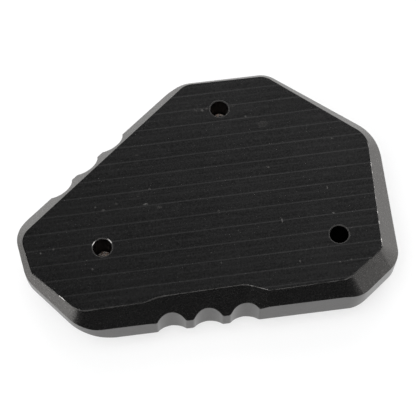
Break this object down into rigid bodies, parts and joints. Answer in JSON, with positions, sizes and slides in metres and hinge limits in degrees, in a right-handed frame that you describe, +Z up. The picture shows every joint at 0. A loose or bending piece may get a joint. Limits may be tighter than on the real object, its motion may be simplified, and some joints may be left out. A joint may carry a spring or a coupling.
{
  "type": "kickstand foot enlarger",
  "caption": "Flat metal foot that clamps round the end of a motorbike's side stand and spreads its load on soft ground.",
  "frame": {"origin": "on the surface that the clamp plate's outer face lies on, under the middle of the outline's box", "axes": "+X along the straight near edge to the right, +Y away from it, +Z up towards the ground face"},
  "size_m": [0.085, 0.0582, 0.0183],
  "materials": {
    "anodised_plate": "black anodised over machined aluminium, satin, with fine parallel milling lines",
    "screw_steel": "plain stainless steel"
  },
  "bodies": {
    "root": {"base_plate": "anodised_plate", "clamp_plate": "anodised_plate", "screw_left": "screw_steel", "screw_right": "screw_steel", "screw_far": "screw_steel"}
  },
  "joints": []
}
